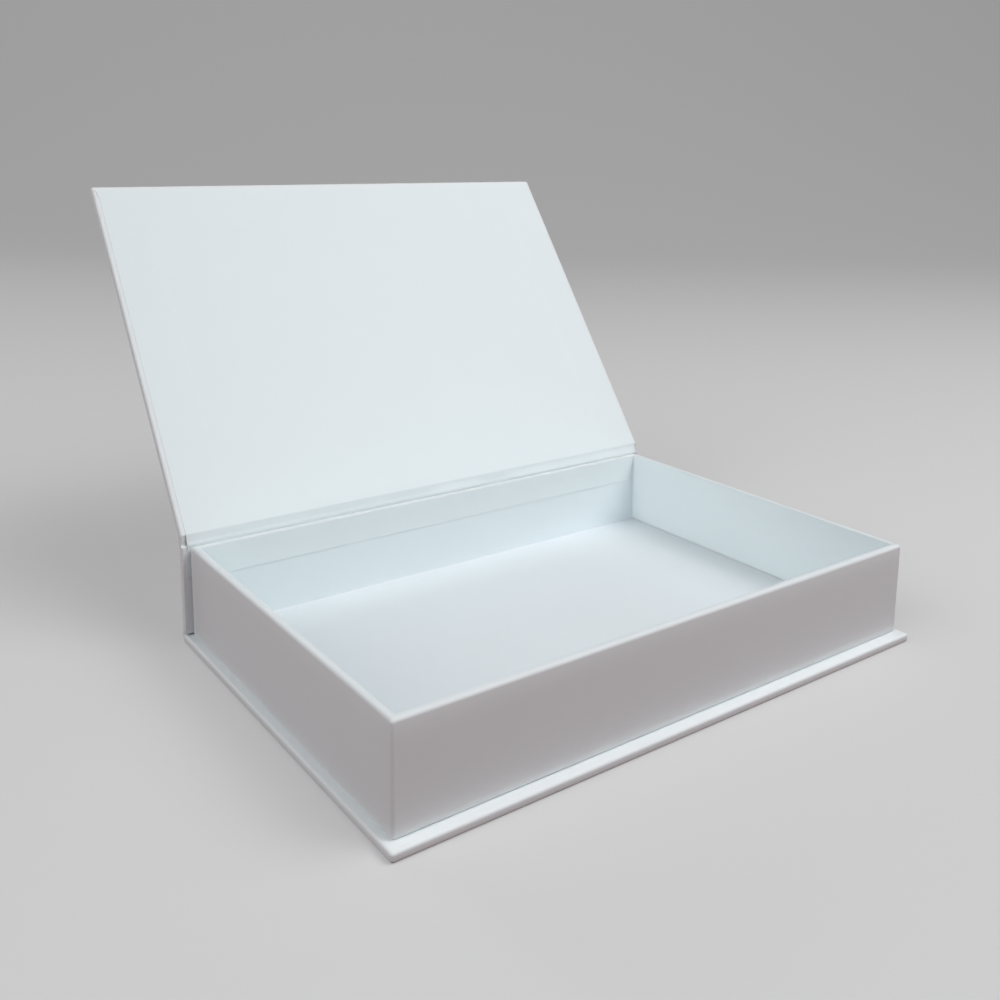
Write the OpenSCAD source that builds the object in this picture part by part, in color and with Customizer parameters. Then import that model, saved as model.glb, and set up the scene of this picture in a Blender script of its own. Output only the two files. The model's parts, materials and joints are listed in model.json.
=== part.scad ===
// Hinged book box for papers and keepsakes: an open tray glued inside a case of
// three boards (base, spine, lid) that one sheet of paper wraps and hinges.
// Millimetres, +Z up, +X along the hinge, the front faces -Y.
// The origin is the centre of the base panel's underside. The lid is drawn open.

/* [Tray] */
// Width of the tray outside, along the hinge
tray_w = 240; // [160:1:320]
// Depth of the tray outside, from front wall to rear wall
tray_d = 160; // [110:1:240]
// Height of the tray's rim above the base panel
tray_h = 38; // [24:1:80]
// Thickness of the greyboard in the tray's walls and floor
wall_board = 2.5; // [1.5:0.1:3]
// How far the tray's paper is turned in over the front and rear rims
rim_turn_in = 13; // [8:1:16]
// How far the ends of those turn-ins are cut aslant at the corners
corner_slant = 2; // [1:0.5:4]
// How far the tray's paper is turned in under the tray
under_turn_in = 15; // [8:1:20]
// Radius of the tray's upright outer corners, on the paper
corner_round = 1.2; // [0.8:0.1:2]

/* [Case] */
// Thickness of the greyboard in the base, spine and lid
panel_board = 3; // [2:0.1:4]
// How far the base and the lid reach past each end of the tray
side_reach = 3; // [1:0.5:6]
// How far the base and the lid reach past the tray's front wall
front_reach = 4.5; // [2:0.5:8]
// How far the base and the lid reach past the tray's rear wall
rear_reach = 2.6; // [2:0.1:3]
// How far the case paper is turned in over the boards' edges
case_turn_in = 20; // [12:1:30]
// How far the lid's lining paper stays back from the lid's edges
liner_inset = 2.2; // [1:0.1:4]
// How far the lining reaches down between the spine and the tray
liner_tuck_depth = 13; // [8:1:16]

/* [Paper] */
// Thickness of the covering and lining papers
paper = 0.25; // [0.15:0.05:0.3]
// Thickness of the tape that binds the tray's corners under the paper
stay_tape = 0.1; // [0.05:0.01:0.12]
// Length of each leg of that tape
stay_leg = 12; // [8:1:14]
// How far that tape ends below the rim and above the tray's foot
stay_drop = 2; // [1:0.5:6]

/* [Hinge] */
// Opening angle at which the lid is drawn
open_angle = 126.5; // [100:0.5:150]
// Distance of the hinge line behind the tray's rear wall
hinge_back = 3.2; // [3:0.1:3.5]
// Height of the hinge line above the rim
hinge_up = 2.7; // [2.5:0.1:3]
// Gap between the closed lid and the rim
rim_gap = 0.3; // [0.2:0.05:0.5]
// Gap between the tray's rear wall and the lining on the spine
spine_gap = 0.35; // [0.2:0.05:0.6]
// Gap between the base panel and the spine board above it
spine_lift = 1.0; // [0.3:0.1:1.5]
// How far the lining stands above the rim where it leaves the spine
ridge_up = 1.15; // [0.8:0.05:1.3]

/* [Hidden] */
// Each pair gives a colour as the object shows it
CASE_PAPER = [0.88, 0.90, 0.91];
LINING_PAPER = [0.90, 0.92, 0.94];
GREYBOARD = [0.60, 0.57, 0.52];
TAPE = [0.78, 0.68, 0.52];

// Base panel, front to rear
case_w = tray_w + 2 * side_reach;
panel_d = front_reach + tray_d + rear_reach;
front_y = -panel_d / 2;
rear_y = panel_d / 2;
base_top = panel_board + 2 * paper;

// Tray outside and inside
wall = wall_board + 2 * paper;
tray_front = front_y + front_reach;
tray_rear = tray_front + tray_d;
top = base_top + tray_h;
inner_w = tray_w - 2 * wall;
inner_front = tray_front + wall;
inner_rear = tray_rear - wall;
floor_under = base_top + paper;
floor_top = floor_under + wall_board;

// Spine, from the lining on its inner face to the paper on its outer face
liner_y = tray_rear + spine_gap;
spine_in = liner_y + 2 * paper;
spine_out = spine_in + panel_board + paper;
spine_foot = base_top + spine_lift;
spine_head = top - paper;

// Lid as it lies when it is closed: lining, turn-ins, board, outer paper
liner_w = case_w - 2 * liner_inset;
lid_under = top + rim_gap;
lid_board_under = lid_under + 2 * paper;
lid_over = lid_board_under + panel_board + paper;

// Hinge line
hinge_y = tray_rear + hinge_back;
hinge_z = top + hinge_up;

// The joint papers bow outwards between the spine's head and the lid's edge
bow = 1.7;
bow_from_spine = 53;
bow_from_lid = -60;
bow_steps = 12;

// The lining's ridge behind the rim: its radius, and the hollow above it
ridge_round = 0.75;
ridge_arc = 100;
ridge_steps = 6;
hollow_back = 1.5;
hollow_up = 0.6;
$fn = 48;

// A block of width w, centred on X, between two Y and two Z values
module block(w, y0, y1, z0, z1) {
    translate([-w / 2, y0, z0])
        cube([w, y1 - y0, z1 - z0]);
}

// The same with its four upright corners rounded to radius r
module rounded_block(w, y0, y1, z0, z1, r) {
    translate([0, 0, z0])
        linear_extrude(z1 - z0) {
            translate([r - w / 2, y0])
                square([w - 2 * r, y1 - y0]);
            translate([-w / 2, y0 + r])
                square([w, y1 - y0 - 2 * r]);
            for (x = [r - w / 2, w / 2 - r])
                for (y = [y0 + r, y1 - r])
                    translate([x, y])
                        circle(r);
        }
}

// A block on one end only: side is -1 for the left and 1 for the right
module end_block(side, x0, x1, y0, y1, z0, z1) {
    translate([side > 0 ? x0 : -x1, y0, z0])
        cube([x1 - x0, y1 - y0, z1 - z0]);
}

// A profile of [y, z] points, drawn out along X to width w
module ribbon(w, points) {
    rotate([90, 0, 90])
        linear_extrude(w, center = true)
            polygon(points);
}

// Where a [y, z] point of the closed lid lies when the lid is open
function opened_at(p) =
    let (y = p[0] - hinge_y, z = p[1] - hinge_z)
    [hinge_y + cos(open_angle) * y + sin(open_angle) * z,
     hinge_z - sin(open_angle) * y + cos(open_angle) * z];

// Swings what is drawn closed to the lid's open place
module opened() {
    translate([0, hinge_y, hinge_z])
        rotate([-open_angle, 0, 0])
            translate([0, -hinge_y, -hinge_z])
                children();
}

// A point on the cubic curve with ends a, d and handles b, c
function on_curve(a, b, c, d, t) =
    pow(1 - t, 3) * a + 3 * pow(1 - t, 2) * t * b
    + 3 * (1 - t) * pow(t, 2) * c + pow(t, 3) * d;

// The bowed line of a joint paper from the spine at a to the lid at d
function bowed(a, d) =
    let (b = a + bow * [cos(bow_from_spine), sin(bow_from_spine)],
         c = d + bow * [cos(bow_from_lid), sin(bow_from_lid)])
    [for (i = [0:bow_steps]) on_curve(a, b, c, d, i / bow_steps)];

function reversed(v) = [for (i = [len(v) - 1:-1:0]) v[i]];

// ---- Case boards ----

module base_board() {
    color(GREYBOARD)
        block(case_w - 2 * paper, front_y + paper, rear_y, paper, base_top - paper);
}

module spine_board() {
    color(GREYBOARD)
        block(case_w - 2 * paper, spine_in, spine_out - paper, spine_foot, spine_head);
}

module lid_board() {
    color(GREYBOARD)
        opened()
            block(case_w - 2 * paper, front_y + paper, rear_y - paper,
                lid_board_under, lid_over - paper);
}

// ---- Case paper: one sheet, in four stretches from base to lid ----

// Under the base board, up its front and side edges and turned in on top
module case_wrap_base() {
    color(CASE_PAPER)
        difference() {
            block(case_w, front_y, rear_y, 0, base_top);
            block(case_w - 2 * paper, front_y + paper, rear_y + 1, paper, base_top - paper);
            block(case_w - 2 * case_turn_in, front_y + case_turn_in, rear_y + 1,
                base_top / 2, base_top + 1);
        }
}

// Round the base's rear edge and up the spine, turned in at the spine's ends
module case_wrap_spine() {
    color(CASE_PAPER) {
        difference() {
            block(case_w, spine_in - paper, spine_out, spine_foot, spine_head);
            block(case_w - 2 * paper, spine_in, spine_out - paper, spine_foot - 1, spine_head + 1);
            block(case_w - 2 * case_turn_in, spine_in - 1, spine_in + 1,
                spine_foot - 1, spine_head + 1);
        }
        ribbon(case_w, concat(foot_curve(0, 0), reversed(foot_curve(paper, paper))));
    }
}

// The line of the paper round the lower joint: up from the base's underside
// (raised by rise) to the spine's outer face (set in by inset)
function foot_curve(rise, inset) =
    let (a = [rear_y, rise], d = [spine_out - inset, spine_foot],
         b = [(a[0] + d[0]) / 2, rise], c = [d[0], base_top / 3])
    [for (i = [0:bow_steps]) on_curve(a, b, c, d, i / bow_steps)];

// The free stretch between the spine's head and the lid, which bends
module case_wrap_joint() {
    color(CASE_PAPER)
        ribbon(case_w, concat(
            bowed([spine_out, spine_head], opened_at([rear_y, lid_over])),
            reversed(bowed([spine_out - paper, spine_head], opened_at([rear_y, lid_over - paper])))));
}

// Over the lid board, round its front and side edges and turned in beneath
module case_wrap_lid() {
    color(CASE_PAPER)
        opened()
            difference() {
                block(case_w, front_y, rear_y, lid_under + paper, lid_over);
                block(case_w - 2 * paper, front_y + paper, rear_y + 1,
                    lid_board_under, lid_over - paper);
                block(case_w - 2 * paper, rear_y - paper, rear_y + 1,
                    lid_under, lid_over - paper);
                block(case_w - 2 * case_turn_in, front_y + case_turn_in, rear_y + 1,
                    lid_under, lid_board_under + 1);
            }
}

// ---- Lining paper: one sheet, in three stretches from lid to spine ----

// Over the lid's inside: raised where it lies on the turn-ins, and down on
// the board between them
module lid_liner() {
    color(LINING_PAPER)
        opened() {
            difference() {
                block(liner_w, front_y + liner_inset, rear_y, lid_under, lid_under + paper);
                block(case_w - 2 * case_turn_in - 2 * paper, front_y + case_turn_in + paper,
                    rear_y + 1, lid_under - 1, lid_under + 1);
            }
            block(case_w - 2 * case_turn_in, front_y + case_turn_in, rear_y,
                lid_under + paper, lid_board_under);
        }
}

// Across the joint: over a ridge at the spine's head, and up to the lid
module liner_joint() {
    color(LINING_PAPER)
        ribbon(liner_w, concat(bridge(0), reversed(bridge(paper))));
}

// The lining's line across the joint, set back by inset from its face
function bridge(inset) =
    let (centre = [liner_y + ridge_round, top + ridge_up - ridge_round],
         r = ridge_round - inset)
    concat(
        [[liner_y + inset, top]],
        [for (i = [0:ridge_steps])
            let (a = 180 - ridge_arc * i / ridge_steps)
            centre + r * [cos(a), sin(a)]],
        [[liner_y + hollow_back + inset, top + ridge_up + hollow_up - inset * 0.4],
         opened_at([rear_y, lid_under + inset])]);

// Down between the spine and the tray
module liner_tuck() {
    color(LINING_PAPER)
        block(liner_w, liner_y, liner_y + paper, top - liner_tuck_depth, top);
}

// ---- Tray boards: the walls stand round the floor ----

// All that the tray's paper goes round
module tray_core() {
    rounded_block(tray_w - 2 * paper, tray_front + paper, tray_rear - paper,
        floor_under, top - paper, corner_round - paper);
}

module tray_floor_board() {
    color(GREYBOARD)
        block(inner_w + 2 * paper, inner_front - paper, inner_rear + paper,
            floor_under, floor_top);
}

module tray_front_board() {
    color(GREYBOARD)
        intersection() {
            tray_core();
            block(tray_w, tray_front, inner_front - paper, base_top, top);
        }
}

module tray_rear_board() {
    color(GREYBOARD)
        intersection() {
            tray_core();
            block(tray_w, inner_rear + paper, tray_rear, base_top, top);
        }
}

module tray_side_board(side) {
    color(GREYBOARD)
        end_block(side, inner_w / 2 + paper, tray_w / 2 - paper,
            inner_front - paper, inner_rear + paper, floor_under, top - paper);
}

// ---- Tape round each outer corner of the tray's boards, under the paper ----

// side is -1 for the left and 1 for the right, end is -1 for the front and 1 for the rear
module corner_stay(side, end) {
    color(TAPE)
        difference() {
            stay_space(side, end);
            tray_core();
        }
}

// What a corner's tape takes up, with the boards inside it
module stay_space(side, end) {
    reach = stay_leg + paper;
    intersection() {
        rounded_block(tray_w - 2 * (paper - stay_tape), tray_front + paper - stay_tape,
            tray_rear - paper + stay_tape, floor_under + stay_drop, top - stay_drop,
            corner_round - paper + stay_tape);
        end_block(side, tray_w / 2 - reach, tray_w / 2,
            end < 0 ? tray_front : tray_rear - reach,
            end < 0 ? tray_front + reach : tray_rear, floor_under + stay_drop, top - stay_drop);
    }
}

// ---- Tray paper: round the walls, over the rims, turned in above and below ----

module tray_wrap() {
    color(CASE_PAPER) {
        difference() {
            rounded_block(tray_w, tray_front, tray_rear, base_top, top, corner_round);
            tray_core();
            block(tray_w - 2 * under_turn_in, tray_front + under_turn_in,
                tray_rear - under_turn_in, base_top - 1, floor_top);
            block(inner_w, inner_front, inner_rear, floor_top, top + 1);
            for (side = [-1, 1])
                for (end = [-1, 1])
                    stay_space(side, end);
        }
        for (side = [-1, 1])
            end_block(side, inner_w / 2, inner_w / 2 + paper,
                inner_front - paper, inner_rear + paper, floor_top, top);
        rim_flap(inner_front - paper);
        rim_flap(inner_rear);
    }
}

// The turn-in on the inside of the front or rear wall, its ends cut aslant
module rim_flap(y) {
    translate([0, y + paper, 0])
        rotate([90, 0, 0])
            linear_extrude(paper)
                polygon([
                    [-inner_w / 2, top],
                    [corner_slant - inner_w / 2, top - rim_turn_in],
                    [inner_w / 2 - corner_slant, top - rim_turn_in],
                    [inner_w / 2, top]]);
}

// ---- Lining papers inside the tray ----

// Below the turn-in on the front or rear wall
module wall_lining(y) {
    color(LINING_PAPER)
        block(inner_w, y, y + paper, floor_top, top - rim_turn_in);
}

module tray_floor_paper() {
    color(LINING_PAPER)
        block(inner_w, inner_front, inner_rear, floor_top, floor_top + paper);
}

base_board();
spine_board();
lid_board();
case_wrap_base();
case_wrap_spine();
case_wrap_joint();
case_wrap_lid();
lid_liner();
liner_joint();
liner_tuck();
tray_floor_board();
tray_front_board();
tray_rear_board();
tray_side_board(-1);  // tray_left_board
tray_side_board(1);  // tray_right_board
corner_stay(-1, -1);  // corner_stay_front_left
corner_stay(1, -1);  // corner_stay_front_right
corner_stay(-1, 1);  // corner_stay_rear_left
corner_stay(1, 1);  // corner_stay_rear_right
tray_wrap();
wall_lining(inner_front - paper);  // tray_front_lining
wall_lining(inner_rear);  // tray_rear_lining
tray_floor_paper();
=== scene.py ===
import json
import math

import bmesh
import bpy
import numpy as np
from mathutils import Matrix, Vector


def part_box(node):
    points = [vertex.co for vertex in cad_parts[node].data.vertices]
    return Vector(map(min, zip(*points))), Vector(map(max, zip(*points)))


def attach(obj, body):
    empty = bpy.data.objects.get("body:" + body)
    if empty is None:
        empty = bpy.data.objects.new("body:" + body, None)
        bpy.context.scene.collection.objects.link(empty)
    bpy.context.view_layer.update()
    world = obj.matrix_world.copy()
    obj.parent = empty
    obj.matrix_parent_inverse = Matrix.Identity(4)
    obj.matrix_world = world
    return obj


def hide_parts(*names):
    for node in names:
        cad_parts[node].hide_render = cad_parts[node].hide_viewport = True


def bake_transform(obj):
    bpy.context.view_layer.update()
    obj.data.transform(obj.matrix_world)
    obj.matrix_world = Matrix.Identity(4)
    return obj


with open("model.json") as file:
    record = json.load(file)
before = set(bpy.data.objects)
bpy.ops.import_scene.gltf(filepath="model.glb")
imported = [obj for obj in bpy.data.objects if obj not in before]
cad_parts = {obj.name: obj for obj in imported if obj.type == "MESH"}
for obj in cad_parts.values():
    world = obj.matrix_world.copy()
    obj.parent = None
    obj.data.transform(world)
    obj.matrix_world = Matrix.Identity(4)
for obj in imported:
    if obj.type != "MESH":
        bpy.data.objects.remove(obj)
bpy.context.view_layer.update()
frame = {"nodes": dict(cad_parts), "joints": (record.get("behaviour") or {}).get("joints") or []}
mm = 0.001

# ---- Viewpoint ----------------------------------------------------------
# The camera stands in front of the box's left end, a little above the rim.
# The picture is the lower square of an upright frame, hence the lens shift.

camera_place = (-258.2 * mm, -320.7 * mm, 200.6 * mm)
camera_heading = 35.82
camera_dip = 10.30
camera_roll = 0.61
camera_lens = 38.62
camera_shift = -0.160


def turn(degrees, axis):
    return Matrix.Rotation(math.radians(degrees), 4, axis)


camera = bpy.data.objects.new("camera", bpy.data.cameras.new("camera"))
bpy.context.scene.collection.objects.link(camera)
camera.data.sensor_width = 36.0
camera.data.lens = camera_lens
camera.data.shift_y = camera_shift
camera.data.clip_start = 0.01
camera.matrix_world = (
    Matrix.Translation(camera_place)
    @ turn(-camera_heading, "Z")
    @ turn(90 - camera_dip, "X")
    @ turn(camera_roll, "Z")
)
bpy.context.scene.camera = camera
bpy.context.scene.view_settings.view_transform = "Standard"


# ---- Floor and light ----------------------------------------------------
# A grey floor that sweeps up behind the part, four soft lamps and an even sky.
# The camera sees floor and sky much paler than the light that they give.

class Value:
    """A number on its way through a material: operators add Math nodes."""

    def __init__(self, finish, socket):
        self.finish, self.socket = finish, socket

    def _math(self, operation, a, b=0.0):
        return self.finish.node("ShaderNodeMath", {0: a, 1: b}, {"operation": operation})

    def __add__(self, other):
        return self._math("ADD", self, other)

    def __sub__(self, other):
        return self._math("SUBTRACT", self, other)

    def __rsub__(self, other):
        return self._math("SUBTRACT", other, self)

    def __mul__(self, other):
        return self._math("MULTIPLY", self, other)

    def size(self):
        return self._math("ABSOLUTE", self)

    def least(self, other):
        return self._math("MINIMUM", self, other)

    def clamped(self):
        """The number, or 0 or 1 where it is past one of them."""
        return self._math("MAXIMUM", self.least(1.0), 0.0)


class Finish:
    """A material being mixed: node() adds any node and links its sockets."""

    def __init__(self, name, tree=None):
        if tree is None:
            self.material = bpy.data.materials.new(name)
            self.material.use_nodes = True
            tree = self.material.node_tree
        tree.nodes.clear()
        self.tree = tree

    def node(self, kind, sockets, settings=None, output=0):
        made = self.tree.nodes.new(kind)
        for name, value in (settings or {}).items():
            setattr(made, name, value)
        for name, value in sockets.items():
            if isinstance(value, Value):
                self.tree.links.new(value.socket, made.inputs[name])
            else:
                made.inputs[name].default_value = value
        return Value(self, made.outputs[output])

    def object_coordinates(self):
        return self.node("ShaderNodeTexCoord", {}, output="Object")

    def noise(self, scale, detail, roughness):
        return self.node(
            "ShaderNodeTexNoise",
            {"Vector": self.object_coordinates(), "Scale": scale, "Detail": detail,
             "Roughness": roughness},
            output="Fac")

    def mix_colour(self, factor, first, second):
        first, second = (c if isinstance(c, Value) else (*c, 1) for c in (first, second))
        return self.node("ShaderNodeMix", {"Factor": factor, "A": first, "B": second},
                         {"data_type": "RGBA"}, output="Result")

    def bump(self, height, strength, distance, under=None):
        """The normal of a relief, which may lie over another relief's."""
        sockets = {"Height": height, "Strength": strength, "Distance": distance}
        if under is not None:
            sockets["Normal"] = under
        return self.node("ShaderNodeBump", sockets)

    def surface(self, sockets):
        """The finished material, with these inputs to its shader."""
        shader = self.node("ShaderNodeBsdfPrincipled", sockets)
        output = self.tree.nodes.new("ShaderNodeOutputMaterial")
        self.tree.links.new(shader.socket, output.inputs["Surface"])
        return self.material


floor_pale = (0.40, 0.40, 0.404)
floor_glow = (0.27, 0.27, 0.273)
floor_bounce = (0.15, 0.05, 0.055)
black = (0.0, 0.0, 0.0)


def seen_by_camera(finish):
    """1 where the camera or a reflection looks, 0 where light bounces."""
    path = finish.tree.nodes.new("ShaderNodeLightPath")
    seen = Value(finish, path.outputs["Is Camera Ray"])
    for ray in ("Is Glossy Ray", "Is Transmission Ray"):
        seen = seen + Value(finish, path.outputs[ray])
    return seen.clamped()


floor_finish = Finish("floor")
floor_seen = seen_by_camera(floor_finish)
floor_material = floor_finish.surface({
    "Base Color": floor_finish.mix_colour(floor_seen, floor_bounce, floor_pale),
    "Emission Color": floor_finish.mix_colour(floor_seen, black, floor_glow),
    "Emission Strength": 1.0, "Roughness": 0.9, "Specular IOR Level": 0.1})

floor_near, floor_far, floor_side, sweep_radius, wall_top = -3.0, 1.5, 5.0, 1.6, 5.0
floor_drop = 0.05 * mm
sweep_turn = np.linspace(0, math.pi / 2, 33)
sweep_line = np.concatenate([
    [(floor_near, 0.0)],
    np.stack([floor_far + sweep_radius * np.sin(sweep_turn),
              sweep_radius * (1 - np.cos(sweep_turn))], axis=1),
    [(floor_far + sweep_radius, wall_top)]])
sweep_points = [(x, y, z) for y, z in sweep_line for x in (-floor_side, floor_side)]
sweep_faces = [(2 * i, 2 * i + 1, 2 * i + 3, 2 * i + 2) for i in range(len(sweep_line) - 1)]
floor_mesh = bpy.data.meshes.new("floor")
floor_mesh.from_pydata(sweep_points, [], sweep_faces)
floor_mesh.polygons.foreach_set("use_smooth", np.ones(len(sweep_faces), bool))
floor_mesh.materials.append(floor_material)
floor = bpy.data.objects.new("floor", floor_mesh)
floor.matrix_world = Matrix.Translation((0, 0, -floor_drop)) @ turn(-camera_heading, "Z")
bpy.context.scene.collection.objects.link(floor)

world = bpy.data.worlds.new("sky")
bpy.context.scene.world = world
world.use_nodes = True
sky = Finish("sky", world.node_tree)
sky_colour = (0.97, 0.98, 1.0, 1)
sky_light = 0.02
sky_pale = 0.38
sky_background = sky.node(
    "ShaderNodeBackground",
    {"Color": sky_colour, "Strength": seen_by_camera(sky) * sky_pale + sky_light})
world_output = world.node_tree.nodes.new("ShaderNodeOutputWorld")
world.node_tree.links.new(sky_background.socket, world_output.inputs["Surface"])


def area_lamp(name, place, aim, size, watts, spread_angle=180):
    """A square soft lamp at place that faces the point aim."""
    lamp = bpy.data.lights.new(name, "AREA")
    lamp.shape, lamp.size, lamp.energy = "SQUARE", size, watts
    lamp.spread = math.radians(spread_angle)
    holder = bpy.data.objects.new(name, lamp)
    facing = (Vector(aim) - Vector(place)).to_track_quat("-Z", "Y")
    holder.matrix_world = Matrix.Translation(place) @ facing.to_matrix().to_4x4()
    bpy.context.scene.collection.objects.link(holder)


tray_middle = (0, 0, 0.03)
lid_middle = (0, 0.1, 0.1)
area_lamp("right_lamp", (0.68, -0.60, 1.284), tray_middle, size=1.1, watts=12.0)
area_lamp("left_lamp", (-2.07, -0.26, 1.55), tray_middle, size=1.8, watts=28.5)
area_lamp("front_lamp", (0.47, -0.97, 1.18), tray_middle, size=1.1, watts=7.0)
area_lamp("rear_lamp", (-0.50, 2.50, 0.80), lid_middle, size=1.0, watts=1.3, spread_angle=50)


# ---- Greyboard ----------------------------------------------------------
# Base, spine and lid are 3 mm solid board pressed from waste paper, and the
# tray's walls and floor are 2.5 mm. They are cut square and hidden by paper.

def mottled(first, first_weight, second, second_weight):
    """Two noises made one share for mixing colours, a half on average."""
    both = (first - 0.5) * first_weight + (second - 0.5) * second_weight
    return (both + 0.5).clamped()


def greyboard(dark, pale):
    finish = Finish("greyboard")
    fibres = finish.noise(scale=1400.0, detail=4.0, roughness=0.7)
    flecks = finish.noise(scale=420.0, detail=2.0, roughness=0.6)
    return finish.surface({
        "Base Color": finish.mix_colour(mottled(fibres, 1.6, flecks, 1.2), dark, pale),
        "Roughness": 0.92, "Specular IOR Level": 0.25,
        "Normal": finish.bump(fibres, strength=0.5, distance=0.08 * mm)})


board_material = greyboard((0.19, 0.17, 0.14), (0.38, 0.35, 0.30))
board_ease = 0.85 * mm
spine_ease = 0.25 * mm
cad_weld = 0.001 * mm
flat_angle = math.radians(1)
edge_angle = math.radians(30)


def eased_board(node, body, ease):
    """A board with its edges eased, as the knife and the paper leave them."""
    mesh = frame["nodes"][node].data.copy()
    shape = bmesh.new()
    shape.from_mesh(mesh)
    bmesh.ops.remove_doubles(shape, verts=shape.verts, dist=cad_weld)
    bmesh.ops.dissolve_limit(
        shape, angle_limit=flat_angle, verts=shape.verts, edges=shape.edges)
    shape.to_mesh(mesh)
    shape.free()
    mesh.materials.clear()
    mesh.materials.append(board_material)
    made = bpy.data.objects.new(node.replace("board", "greyboard"), mesh)
    bpy.context.scene.collection.objects.link(made)
    bevel = made.modifiers.new("eased_edges", "BEVEL")
    bevel.width, bevel.segments = ease, 3
    bevel.limit_method, bevel.angle_limit = "ANGLE", edge_angle
    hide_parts(node)
    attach(made, body)


for board in ("base", "tray_floor", "tray_front", "tray_rear", "tray_left", "tray_right"):
    eased_board(board + "_board", "box", board_ease)
eased_board("spine_board", "box", spine_ease)
eased_board("lid_board", "lid", board_ease)


# ---- Corner stays -------------------------------------------------------
# Brown gummed paper tape is wetted and pressed round each outer corner of
# the tray's boards, so that they hold together until the paper goes on.

def gummed_tape(dark, pale):
    finish = Finish("gummed_tape")
    fibres = finish.noise(scale=900.0, detail=3.0, roughness=0.65)
    return finish.surface({
        "Base Color": finish.mix_colour(fibres, dark, pale),
        "Roughness": fibres * 0.2 + 0.55,
        "Normal": finish.bump(fibres, strength=0.3, distance=0.03 * mm)})


tape_material = gummed_tape((0.30, 0.19, 0.10), (0.42, 0.29, 0.16))
for node_name, cad_node in frame["nodes"].items():
    if node_name.startswith("corner_stay"):
        cad_node.data.materials.clear()
        cad_node.data.materials.append(tape_material)


# ---- Case paper on the base ---------------------------------------------
# White coated paper, 0.25 mm thick, is glued under the base board, drawn
# round its front and side edges and turned in on top with mitred corners.

paper = 0.25 * mm
paper_weld = 0.0005 * mm
crease_angle = math.radians(40)
edge_radius = board_ease + paper
case_turn_in = 20 * mm
case_turn_in_rows = [1.8 * mm, 2.8 * mm, 4.6 * mm, 10 * mm, case_turn_in]
panel_margin = 1.6 * mm
panel_arc_steps = 5
cloud_shade = (0.025, 0.02, 0.02)

# A board's own paper ends this far before its rear edge, where the next begins.
hand_over = 3 * mm


def white_paper(name, colour, parts=()):
    """Coated paper over board: faint cloudy tone, fine fibre, glue ripples.

    parts are areas of the sheet with painted light or shade: a function of
    the finish that is 1 there, and the colour painted there.
    """
    def cloudy(colour):
        shade = [channel - darker for channel, darker in zip(colour, cloud_shade)]
        return finish.mix_colour(tone, shade, colour)

    finish = Finish(name)
    cloud = finish.noise(scale=28.0, detail=3.0, roughness=0.55)
    fibre = finish.noise(scale=2600.0, detail=3.0, roughness=0.6)
    ripple = finish.noise(scale=75.0, detail=2.0, roughness=0.5)
    tone = mottled(cloud, 1.4, fibre, 0.35)
    ripple_bump = finish.bump(ripple, strength=0.35, distance=0.10 * mm)
    paper_colour = cloudy(colour)
    for where, part_colour in parts:
        paper_colour = finish.mix_colour(where(finish), paper_colour, cloudy(part_colour))
    return finish.surface({
        "Base Color": paper_colour,
        "Roughness": fibre * 0.12 + (cloud * 0.10 + 0.40),
        "IOR": 1.45, "Specular IOR Level": 0.45,
        "Normal": finish.bump(fibre, strength=0.25, distance=0.012 * mm, under=ripple_bump)})


covering_material = white_paper("covering_paper", (0.86, 0.90, 0.918))
lining_material = white_paper("lining_paper", (0.848, 0.922, 0.948))
# The floor's paper is the lining paper made darker: painted shade, as the tray's floor faces up
# into the lamps.
floor_paper_painted_shade_material = white_paper("floor_paper", (0.79, 0.845, 0.878))


def spread(*stops, steps):
    """Values from stop to stop, with a number of steps for each stretch."""
    parts = [np.linspace(a, b, n, endpoint=False)
             for a, b, n in zip(stops[:-1], stops[1:], steps)]
    return np.concatenate(parts + [[stops[-1]]])


def rounding(radius, steps=7):
    """Round an edge: radius (1 - sin t) and radius (1 - cos t), t to a right angle."""
    bend = np.linspace(0, math.pi / 2, steps)
    return radius * (1 - np.sin(bend)), radius * (1 - np.cos(bend))


def outline(low, high):
    """A box's corners in plan, anticlockwise from the rear left one."""
    return [(low[0], high[1]), (low[0], low[1]), (high[0], low[1]), (high[0], high[1])]


def walk(corners, inset, radius, along, arc_steps, closed):
    """Points round a rectangle, at each inset from it.

    corners run anticlockwise. Along a side from A to B with direction d and
    inward normal n, a point is A + n inset + d (inset + radius) and so on to B.
    At B an arc of that radius turns from -n to d. inset and radius are one
    value per profile point, along holds the shares of a side's length.
    """
    corners = np.asarray(corners, float)
    inset, radius = np.asarray(inset)[:, None, None], np.asarray(radius)[:, None, None]
    sides = len(corners) if closed else len(corners) - 1
    phi = np.linspace(0, math.pi / 2, arc_steps + 2)[1:-1][None, :, None]
    found = []
    for side in range(sides):
        a, b = corners[side], corners[(side + 1) % len(corners)]
        d = (b - a) / np.linalg.norm(b - a)
        n = np.array([-d[1], d[0]])
        from_turn = closed or side > 0
        to_turn = closed or side < sides - 1
        start = a + n * inset + d * (inset + radius) * from_turn
        end = b + n * inset - d * (inset + radius) * to_turn
        share = np.asarray(along[side])[None, :, None]
        found.append(start + (end - start) * share)
        if to_turn:
            centre = b + (n - d) * (inset + radius)
            found.append(centre + radius * (d * np.sin(phi) - n * np.cos(phi)))
    return np.concatenate(found, axis=1)


def with_height(flat, height):
    """(rows, columns, 2) points and a height per point made (rows, columns, 3)."""
    return np.concatenate([flat, np.broadcast_to(height, flat.shape[:2])[..., None]], axis=2)


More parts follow.
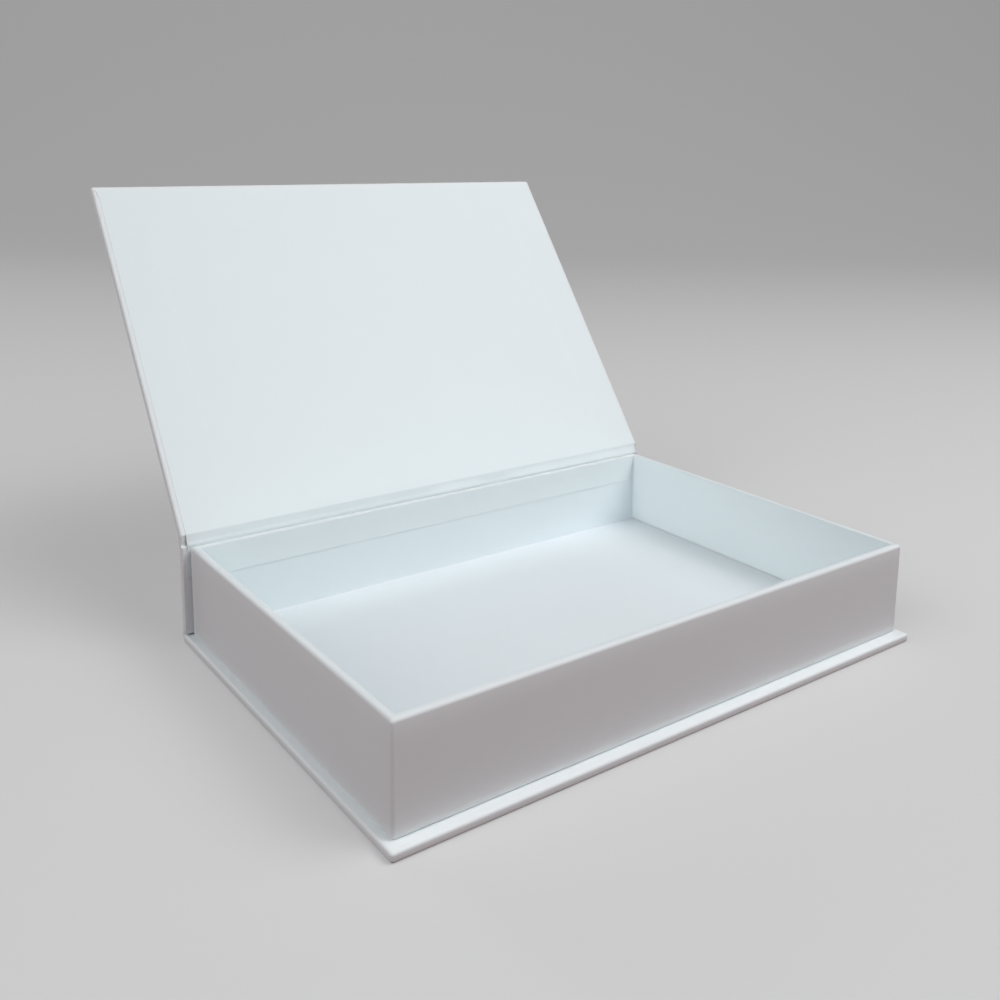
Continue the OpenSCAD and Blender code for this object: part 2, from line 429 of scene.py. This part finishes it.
def paper_object(name, patches, material, thickness=paper):
    """A sheet of paper as a mesh: patches are (points, flip, closed) grids.

    Rows and columns of points become quads, facing column x row, or the other
    way where flip is set. closed joins the last column to the first. Points
    that coincide are welded. The sheet's cut edges are marked sharp, and it
    gets its thickness inwards.
    """
    vertices, faces = [], []
    for points, flip, closed in patches:
        rows, columns = points.shape[:2]
        index = np.arange(rows * columns).reshape(rows, columns) + sum(map(len, vertices))
        if closed:
            index = np.concatenate([index, index[:, :1]], axis=1)
        quads = np.stack(
            [index[:-1, :-1], index[:-1, 1:], index[1:, 1:], index[1:, :-1]], axis=-1)
        quads = quads.reshape(-1, 4)
        faces.append(quads[:, ::-1] if flip else quads)
        vertices.append(points.reshape(-1, 3))
    mesh = bpy.data.meshes.new(name)
    mesh.from_pydata(np.concatenate(vertices).tolist(), [], np.concatenate(faces).tolist())
    weld = bmesh.new()
    weld.from_mesh(mesh)
    bmesh.ops.remove_doubles(weld, verts=weld.verts, dist=paper_weld)
    weld.to_mesh(mesh)
    weld.free()
    mesh.polygons.foreach_set("use_smooth", np.ones(len(mesh.polygons), bool))
    mesh.set_sharp_from_angle(angle=crease_angle)
    loop_edges = np.zeros(len(mesh.loops), int)
    mesh.loops.foreach_get("edge_index", loop_edges)
    edge_use = np.bincount(loop_edges, minlength=len(mesh.edges))
    marks = mesh.attributes["sharp_edge"].data
    sharp = np.zeros(len(mesh.edges), bool)
    marks.foreach_get("value", sharp)
    marks.foreach_set("value", sharp | (edge_use == 1))
    mesh.materials.append(material)
    made = bpy.data.objects.new(name, mesh)
    bpy.context.scene.collection.objects.link(made)
    solid = made.modifiers.new("thickness", "SOLIDIFY")
    solid.thickness, solid.offset = thickness, -1.0
    return made


def wrapped_panel(low, high, outside_up):
    """The paper round a board: outer face, front and side edges, turn-ins.

    low and high are the corners of the covered panel. The profile runs from
    the outer face round the edge (a quarter circle of edge_radius, a straight
    edge and the same again) and case_turn_in back inside. It is carried round
    three sides of the panel. The fourth, at the rear, stays open.
    """
    thick = high[2] - low[2]
    falling, rising = rounding(edge_radius)
    inset = np.concatenate([[panel_margin], falling, rising, case_turn_in_rows])
    drop = np.concatenate([
        [0.0], rising, thick - falling, np.full(len(case_turn_in_rows), thick)])
    radius = np.maximum(edge_radius - inset, 0.0)
    side = spread(0.0, 0.9, 1.0, steps=(14, 6))
    front = spread(0.0, 0.1, 0.9, 1.0, steps=(6, 18, 6))
    ring = walk(outline(low, high), inset, radius, (side, front, 1 - side[::-1]),
                panel_arc_steps, closed=False)
    outer = high[2] if outside_up else low[2]
    toward = -1.0 if outside_up else 1.0
    height = outer + toward * drop[:, None]
    front_start = len(side) + panel_arc_steps
    x = ring[0, front_start:front_start + len(front), 0]
    y = ring[0, :len(side), 1]
    centre = np.stack(np.meshgrid(x, y), axis=-1)
    return [(with_height(ring, height), outside_up, False),
            (with_height(centre, outer), outside_up, False)]


base_low, base_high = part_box("case_wrap_base")
base_rear = (base_high[0], base_high[1] - hand_over, base_high[2])
base_paper = paper_object(
    "base_paper", wrapped_panel(base_low, base_rear, outside_up=False), covering_material)
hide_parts("case_wrap_base")
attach(base_paper, "box")


# ---- Case paper on the spine --------------------------------------------
# The same sheet turns up behind the base board, is glued over the spine's
# outer face and turned in at the spine's two ends, over a slit at its foot.

def bent_path(points, radii, steps=6):
    """A path of straight stretches whose corners are rounded.

    At a corner c between directions d and e the curve is
    c - r d + r e + r (d sin - e cos), a quarter circle where d and e are square.
    """
    points = np.asarray(points, float)
    phi = np.linspace(0, math.pi / 2, steps)[:, None]
    found = [points[:1]]
    for before, c, after, r in zip(points[:-2], points[1:-1], points[2:], radii):
        d = (c - before) / np.linalg.norm(c - before)
        e = (after - c) / np.linalg.norm(after - c)
        found.append(c + r * (e - d) + r * (d * np.sin(phi) - e * np.cos(phi)))
    return np.concatenate(found + [points[-1:]])


def curve(start, leave, arrive, end, steps=14):
    """The cubic curve from start to end with the handle points leave, arrive."""
    t = np.linspace(0, 1, steps)[:, None]
    a, b, c, d = (np.asarray(p, float) for p in (start, leave, arrive, end))
    return (1 - t) ** 3 * a + 3 * (1 - t) ** 2 * t * b + 3 * (1 - t) * t ** 2 * c + t ** 3 * d


def reached(path):
    """The share of its length that a path has reached at each point."""
    steps = np.linalg.norm(np.diff(path, axis=0), axis=1)
    return np.concatenate([[0], np.cumsum(steps)]) / steps.sum()


def at_shares(path, shares):
    """The points of a path at shares of its length."""
    return np.stack([np.interp(shares, reached(path), path[:, i]) for i in (0, 1)], axis=1)


def at_heights(path, heights, rows):
    """The points of a rising [y, z] path at row numbers.

    Row 0 is at its start, row 1 at the first height, row 2 at the second and
    so on to its end. Rows between two of them are in proportion.
    """
    stops = np.interp(heights, path[:, 1], reached(path))
    return at_shares(path, np.interp(rows, range(len(stops) + 2), [0.0, *stops, 1.0]))


end_margin = 3 * mm
middle_margin = 10 * mm
widest_round = 0.48


def sleeve(outer, inner, half, flap, radius):
    """Paper over one face of a board and turned in round its two ends.

    outer and inner are [y, z] lines with as many points, thick apart. A row
    runs from the left flap on the inner line round the end, over the outer
    line, and round the right end to the right flap. At an end, reach is the
    distance from the end plane and depth the distance from the outer line:
    two quarter circles with one radius for each row.
    """
    apart = inner - outer
    thick = np.linalg.norm(apart, axis=1)[:, None]
    toward = (apart / thick)[:, None, :]
    radius = np.minimum(np.broadcast_to(radius, len(outer))[:, None], widest_round * thick)
    falling, rising = rounding(radius)
    ones = np.ones_like(radius)
    reach = np.concatenate([
        ones * end_margin, falling, rising, ones * end_margin, ones * flap], axis=1)
    depth = np.concatenate([ones * 0, rising, thick - falling, thick, thick], axis=1)
    middle = ones * np.linspace(middle_margin - half, half - middle_margin, 15)
    x = np.concatenate([(reach - half)[:, ::-1], middle, half - reach], axis=1)
    depth = np.concatenate([depth[:, ::-1], middle * 0, depth], axis=1)
    line = outer[:, None, :] + toward * depth[..., None]
    return np.concatenate([x[..., None], line], axis=2)


_, spine_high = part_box("case_wrap_spine")
board_low, board_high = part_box("spine_board")
spine_foot, spine_head = board_low[2], board_high[2]
spine_front, spine_back = board_low[1] - paper, spine_high[1]
half_width = spine_high[0]
sleeve_top = spine_head - 0.9 * mm
slit_back = spine_back - 0.9 * mm
slit_foot, slit_head = base_high[2], spine_foot - 0.05 * mm
outer_foot = np.concatenate([
    [(base_rear[1], 0.0)],
    curve((base_high[1], 0.0), ((base_high[1] + spine_back) / 2, 0.0),
          (spine_back, slit_foot / 3), (spine_back, slit_foot)),
    [(spine_back, sleeve_top)]])
inner_foot = bent_path(
    [(base_rear[1], slit_foot), (slit_back, slit_foot), (slit_back, slit_head),
     (spine_front, slit_head), (spine_front, sleeve_top)], [0.2 * mm, 0.2 * mm, 0.3 * mm])

# The rows of the two lines are paired just below, in and just above the slit.
foot_rows = spread(0.0, 1.0, 2.0, 3.0, 4.0, steps=(12, 6, 8, 8))
outer_heights = [slit_foot - 0.3 * mm, slit_head + 0.15 * mm, slit_head + 0.8 * mm]
inner_heights = [slit_foot + 0.05 * mm, slit_head - 0.05 * mm, slit_head + 0.05 * mm]
spine_edge_radius = spine_ease + paper
foot_radii = np.interp(foot_rows, [0.4, 1.6], [edge_radius, spine_edge_radius])
spine_sleeve = sleeve(
    at_heights(outer_foot, outer_heights, foot_rows),
    at_heights(inner_foot, inner_heights, foot_rows), half_width, case_turn_in, foot_radii)
spine_paper = paper_object("spine_paper", [(spine_sleeve, True, False)], covering_material)
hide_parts("case_wrap_spine")
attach(spine_paper, "box")


# ---- Case paper on the lid ----------------------------------------------
# The sheet's far end is glued over the lid board in the same way as the base.
# It is shaped as if the lid were shut, and then turned open about the hinge.

lid_hinge = frame["joints"][0]
hinge_y, hinge_z = lid_hinge["pos_m"][1:]
opening = math.radians(-lid_hinge["range_deg"][0])


def turned(points, angle):
    """Points turned about the hinge line, the lid's front rising first."""
    points = np.asarray(points, float)
    y, z = points[..., -2] - hinge_y, points[..., -1] - hinge_z
    turned_points = points.copy()
    turned_points[..., -2] = hinge_y + math.cos(angle) * y + math.sin(angle) * z
    turned_points[..., -1] = hinge_z - math.sin(angle) * y + math.cos(angle) * z
    return turned_points


def opened(points):
    return turned(points, opening)


def closed_box(node):
    """The corners that a lid node's box has when the lid is shut."""
    vertices = frame["nodes"][node].data.vertices
    places = np.empty(3 * len(vertices))
    vertices.foreach_get("co", places)
    shut = turned(places.reshape(-1, 3), -opening)
    return shut.min(axis=0), shut.max(axis=0)


lid_low, lid_high = closed_box("case_wrap_lid")
lid_rear, lid_top = lid_high[1], lid_high[2]
lid_joint_start = lid_rear - hand_over
lid_panel = wrapped_panel(lid_low, (lid_high[0], lid_joint_start, lid_top), outside_up=True)
lid_paper = paper_object(
    "lid_paper", [(opened(points), flip, closed) for points, flip, closed in lid_panel],
    covering_material)
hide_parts("case_wrap_lid")
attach(lid_paper, "lid")


# ---- Case paper in the joint --------------------------------------------
# Between spine and lid the same sheet is free, and its folding is the hinge.
# At the two ends its margin is turned in and lies loosely behind the lining.

bow = 1.7 * mm
bow_from_spine = math.radians(53)
bow_from_lid = math.radians(-60)
head_dip = 1.35 * mm
head_dip_foot, head_dip_top = 0.25 * mm, 3.9 * mm
head_edge = 0.15 * mm
joint_margin = 5 * mm


def heading(angle):
    return np.array([math.cos(angle), math.sin(angle)])


spine_edge = np.array([spine_back, spine_head])
lid_edge = opened((lid_rear, lid_top))
outer_joint = np.concatenate([
    [(spine_back, sleeve_top)],
    curve(spine_edge, spine_edge + bow * heading(bow_from_spine),
          lid_edge + bow * heading(bow_from_lid), lid_edge),
    [opened((lid_joint_start, lid_top))]])
inner_joint = bent_path(
    [(spine_front, sleeve_top), (spine_front, spine_head + head_edge),
     (spine_front + head_dip, spine_head + head_dip_foot),
     (spine_front + head_dip, spine_head + head_dip_top),
     opened((lid_rear, lid_low[2])), opened((lid_joint_start, lid_low[2]))],
    [0.4 * mm, 0.5 * mm, 0.1 * mm, 0.25 * mm])
joint_rows = np.linspace(0, 1, 41)
joint_radii = np.interp(joint_rows, [0.1, 0.3, 0.6, 0.75],
                        [spine_edge_radius, 0.65 * mm, 0.7 * mm, edge_radius])
joint_sleeve = sleeve(at_shares(outer_joint, joint_rows), at_shares(inner_joint, joint_rows),
                      half_width, joint_margin, joint_radii)
joint_paper = paper_object("joint_paper", [(joint_sleeve, True, False)], covering_material)
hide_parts("case_wrap_joint")
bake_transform(joint_paper)


# ---- Lining paper on the lid --------------------------------------------
# A smaller sheet of paper is glued over the lid's inside. The turn-ins under
# it show as faint steps, and its left edge runs out towards the corner.

liner_low, liner_high = closed_box("lid_liner")
liner_half = liner_high[0]
lid_inside = liner_low[2]
turn_in_side = lid_high[0] - case_turn_in
turn_in_front = lid_low[1] + case_turn_in
dip_depth = 0.12 * mm
dip_ramp = 3.0 * mm
dip_end_ramp = 9 * mm
corner_stray = 1.3 * mm
corner_stray_width = 6 * mm
corner_stray_length = 5.5 * mm


def soft_step(distance, width):
    """0 below zero distance, 1 above width, and a smooth ramp between."""
    t = np.clip(distance / width, 0, 1)
    return t * t * (3 - 2 * t)


def lining_dip(x, y):
    """How far the lining sinks between the turn-ins, at closed-lid x and y."""
    from_turn_in = np.minimum(turn_in_side - np.abs(x), y - turn_in_front)
    from_joint = lid_joint_start - y
    return dip_depth * soft_step(from_turn_in, dip_ramp) * soft_step(from_joint, dip_end_ramp)


def ribbon(path, x):
    """A [y, z] path drawn out along the x values: rows follow the path."""
    made = np.empty((len(path), len(x), 3))
    made[..., 0] = x
    made[..., 1:] = np.asarray(path)[:, None, :]
    return made


lining_x = liner_half * spread(-1.0, -0.98, -0.86, -0.80, 0.80, 0.86, 0.98, 1.0,
                               steps=(4, 4, 12, 24, 12, 4, 4))
lining_y = np.concatenate([
    np.linspace(liner_low[1], liner_low[1] + corner_stray_length, 9),
    spread(liner_low[1] + 8 * mm, turn_in_front - 1 * mm, turn_in_front + 5 * mm,
           lid_joint_start - dip_end_ramp, lid_joint_start, steps=(4, 12, 24, 9))])
lining_sheet = ribbon(
    np.stack([lining_y, np.full(len(lining_y), lid_inside)], axis=1), lining_x)
lining_sheet[..., 2] += lining_dip(lining_sheet[..., 0], lining_sheet[..., 1])
from_front = np.clip((lining_y - liner_low[1]) / corner_stray_length, 0, 1)
near_left = soft_step(corner_stray_width - liner_half - lining_x, corner_stray_width)
lining_sheet[..., 0] -= corner_stray * ((1 - from_front) ** 2)[:, None] * near_left
lid_lining = paper_object(
    "lid_lining", [(opened(lining_sheet), True, False)], lining_material)
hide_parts("lid_liner")
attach(lid_lining, "lid")


# ---- Lining paper in the joint ------------------------------------------
# The same sheet bridges the joint and is free there. From a crease at the lid
# it comes down to a low ridge, which leans on the tray's rim in places.

tuck_low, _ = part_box("liner_tuck")
tray_low, tray_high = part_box("tray_wrap")
rim = tray_high[2]
tuck_front = tuck_low[1]
tuck_top = rim - 0.8 * mm
ridge_foot, ridge_top = rim + 0.5 * mm, rim + 1.55 * mm
ridge_back = tuck_front + 0.48 * mm
ridge_start_ramp, ridge_end_ramp = 0.5 * mm, 3.5 * mm
ridge_lean = 0.52 * mm
bridge_bends = bent_path(
    [(tuck_front, tuck_top), (tuck_front, ridge_foot), (ridge_back, ridge_top),
     opened((lid_rear, lid_inside)), opened((lid_joint_start, lid_inside))],
    [0.5 * mm, 0.5 * mm, 0.3 * mm])
bridge_path = at_shares(bridge_bends, np.linspace(0, 1, 49))


def leaning(x):
    """1 where the ridge leans on the rim: right of the middle, but for a gap."""
    return (soft_step(x + 14 * mm, 14 * mm)
            - soft_step(x - 17 * mm, 8 * mm) + soft_step(x - 33 * mm, 12 * mm))


def waves(x):
    """A slight unevenness: two sines whose lengths don't match."""
    return 0.06 * mm * np.sin(x / (7.3 * mm)) + 0.05 * mm * np.sin(x / (3.1 * mm) + 1)


bridge_x = np.linspace(-liner_half, liner_half, 97)
bridge_height = bridge_path[:, 1]
ridge_rows = (soft_step(bridge_height - tuck_top, ridge_start_ramp)
              * (1 - soft_step(bridge_height - ridge_foot, ridge_end_ramp)))
bridge = ribbon(bridge_path, bridge_x)
bridge[..., 1] -= ridge_rows[:, None] * (ridge_lean * leaning(bridge_x) + waves(bridge_x))
joint_lining = paper_object("joint_lining", [(bridge, False, False)], lining_material)
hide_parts("liner_joint")
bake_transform(joint_lining)


# ---- Lining paper behind the tray ---------------------------------------
# The sheet's end goes down between the spine board and the tray's rear wall,
# and is glued to the spine's inner face.

tuck_path = [(tuck_front, z) for z in np.linspace(tuck_low[2], tuck_top, 9)]
tuck_lining = paper_object(
    "tuck_lining", [(ribbon(tuck_path, bridge_x), False, False)], lining_material)
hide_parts("liner_tuck")
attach(tuck_lining, "box")


# ---- Tray paper ---------------------------------------------------------
# One sheet is glued round the walls and over the rims. It is turned in under
# the tray, and inside down the end walls to the floor. At the front and rear
# it ends 13 mm below the rim, its corners cut aslant.

rim_radius = 1.45 * mm
rim_inner_radius = 0.75 * mm
foot_radius = 1.2 * mm
corner_radius = 1.2 * mm
inner_corner_radius = 0.5 * mm
corner_overlap = 7 * mm
overlap_bend = 0.3 * mm
overlap_sink = 0.22 * mm
overlap_rows = 5
wall = 3.0 * mm
under_turn_in = 15 * mm
rim_turn_in = 13 * mm
slant = 2.2 * mm
slant_least = 0.04
cut_width = 0.08 * mm
tray_foot = tray_low[2]
floor_low, floor_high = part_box("tray_floor_paper")
side_depth = rim - floor_low[2]


def coordinate(finish, axis):
    return finish.node("ShaderNodeSeparateXYZ", {"Vector": finish.object_coordinates()},
                       output=axis)


def past(value, start, width):
    """0 where value is below start, 1 from width above it, and a ramp between."""
    return ((value - start) * (1 / width)).clamped()


def painted_shade_on_rims(finish):
    """1 on top of the walls, and 0 from 0.9 mm below the rim: there a darker, cooler tone is
    painted, painted shade that dims the light on the rims.
    """
    return past(coordinate(finish, "Z"), rim - 0.9 * mm, 0.5 * mm)


def painted_light_inside(finish):
    """1 on the margins turned in inside the tray, 0 outside and on the rims: there a paler tone
    is painted, painted light for the light that bounces round inside the tray.
    """
    x, y = coordinate(finish, "X"), coordinate(finish, "Y")
    centre, half_depth = (tray_high[1] + tray_low[1]) / 2, (tray_high[1] - tray_low[1]) / 2
    inset = (tray_high[0] - x.size()).least(half_depth - (y - centre).size())
    return past(inset, wall - 0.25 * mm, 0.2 * mm)


# Tones of the tray's paper: outside a little darker than the case's covering, painted shade on
# the outer walls; paler on the turn-ins inside, painted light; darker and cooler on the rims,
# painted shade.
tray_material_painted_light_and_shade = white_paper(
    "tray_paper_painted_light_and_shade", (0.842, 0.876, 0.892),
    [(painted_light_inside, (0.862, 0.93, 0.95)), (painted_shade_on_rims, (0.818, 0.868, 0.892))])

foot_falling, foot_rising = rounding(foot_radius, 6)
rim_falling, rim_rising = rounding(rim_radius, 6)
inner_falling, inner_rising = rounding(rim_inner_radius, 6)
under_inset = [under_turn_in, 8 * mm, 3 * mm]
wall_heights = np.linspace(tray_foot, rim, 6)[1:-1]
outer_profile = np.concatenate([
    np.stack([under_inset, np.full(len(under_inset), tray_foot)], axis=1),
    np.stack([foot_falling, tray_foot + foot_rising], axis=1),
    np.stack([np.zeros(len(wall_heights)), wall_heights], axis=1),
    np.stack([rim_rising, rim - rim_falling], axis=1),
    np.stack([wall - inner_falling, rim - inner_rising], axis=1)])
inner_share = np.linspace(0, 1, 9)[1:]
profile_inset = np.concatenate([outer_profile[:, 0], np.full(len(inner_share), wall)])
profile_radius = np.interp(profile_inset, [0, wall, under_turn_in],
                           [corner_radius, inner_corner_radius, inner_corner_radius])
inner_length = (tray_high[0] - tray_low[0]) - 2 * (wall + inner_corner_radius)
cut_start, cut_end = cut_width / inner_length, slant / inner_length
end_along = np.linspace(0, 1, 17)
long_along = np.concatenate([
    [0.0, cut_start, cut_end / 2, cut_end], np.linspace(0.03, 0.97, 21),
    [1 - cut_end, 1 - cut_end / 2, 1 - cut_start, 1.0]])
tray_along = (end_along, long_along) * 2
tray_arc_steps = 5
tray_ring = walk(outline(tray_low, tray_high), profile_inset, profile_radius, tray_along,
                 tray_arc_steps, closed=True)


def flap_depth(along):
    """How deep the front or rear turn-in hangs, at shares of its length."""
    from_end = np.minimum(along, 1 - along) * inner_length
    hang = rim_turn_in - rim_inner_radius
    depth = rim_inner_radius + hang * np.clip(from_end / slant, slant_least, 1)
    return np.where(from_end <= 0, side_depth, depth)


end_wall_depth = np.full(len(end_along), side_depth)
corner_depth = np.full(tray_arc_steps, side_depth)
turn_in_depth = np.tile(np.concatenate(
    [end_wall_depth, corner_depth, flap_depth(long_along), corner_depth]), 2)
inner_height = (rim - rim_inner_radius
                - inner_share[:, None] * (turn_in_depth - rim_inner_radius))
tray_height = np.concatenate([
    np.broadcast_to(outer_profile[:, 1:], (len(outer_profile), tray_ring.shape[1])),
    inner_height])
in_x, in_front, in_rear = tray_high[0] - wall, tray_low[1] + wall, tray_high[1] - wall
overlaps = []
for end in (-1, 1):
    for face, back in ((in_front, -1), (in_rear, 1)):
        plan = np.array([
            (end * (in_x - inner_corner_radius), face),
            (end * (in_x - inner_corner_radius - overlap_bend), face + back * overlap_sink),
            (end * (in_x - corner_overlap), face + back * overlap_sink)])
        heights = np.linspace(floor_low[2], rim - rim_inner_radius, overlap_rows)
        strip = with_height(np.broadcast_to(plan, (overlap_rows, *plan.shape)), heights[:, None])
        overlaps.append((strip, end * back > 0, False))
tray_paper = paper_object(
    "tray_paper", [(with_height(tray_ring, tray_height), False, True), *overlaps],
    tray_material_painted_light_and_shade)
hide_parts("tray_wrap")
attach(tray_paper, "box")


# ---- Lining papers in the tray ------------------------------------------
# Paper strips are glued to the front and rear walls below the turn-ins, and a
# sheet to the floor, its edges pressed up a little at the walls.

lining_sink = 0.20 * mm
lining_gap = 0.1 * mm


def wall_lining(name, node, facing):
    """A strip on the wall that faces +1 (to the rear) or -1 (to the front)."""
    low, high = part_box(node)
    surface = (high[1] if facing > 0 else low[1]) - facing * lining_sink
    x = np.linspace(low[0] + lining_gap, high[0] - lining_gap, 25)
    z = np.linspace(low[2], high[2] - lining_gap, 7)
    path = np.stack([np.full(len(z), surface), z], axis=1)
    made = paper_object(name, [(ribbon(path, x), facing > 0, False)], lining_material,
                        paper - lining_sink)
    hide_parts(node)
    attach(made, "box")


wall_lining("front_wall_lining", "tray_front_lining", 1)
wall_lining("rear_wall_lining", "tray_rear_lining", -1)

floor_bend = 0.6 * mm
floor_lip = 0.2 * mm
floor_margin = 2 * mm
floor_corner_radius = 0.4 * mm
floor_arc_steps = 3
floor_falling, floor_rising = rounding(floor_bend, 6)
floor_inset = np.concatenate([[floor_margin], floor_falling, [0.0]])
floor_rise = np.concatenate([[0.0], floor_rising, [floor_bend + floor_lip]])
floor_radius = np.where(floor_inset < floor_margin, floor_corner_radius, 0.0)
floor_rows, floor_columns = np.linspace(0, 1, 17), np.linspace(0, 1, 25)
floor_ring = walk(outline(floor_low, floor_high), floor_inset, floor_radius,
                  (floor_rows, floor_columns) * 2, floor_arc_steps, closed=True)
sheet_x = np.linspace(floor_low[0] + floor_margin, floor_high[0] - floor_margin,
                      len(floor_columns))
sheet_y = np.linspace(floor_high[1] - floor_margin, floor_low[1] + floor_margin,
                      len(floor_rows))
floor_sheet = with_height(np.stack(np.meshgrid(sheet_x, sheet_y), axis=-1), floor_high[2])
floor_lining = paper_object(
    "floor_lining",
    [(with_height(floor_ring, floor_high[2] + floor_rise[:, None]), True, True),
     (floor_sheet, True, False)], floor_paper_painted_shade_material)
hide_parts("tray_floor_paper")
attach(floor_lining, "box")
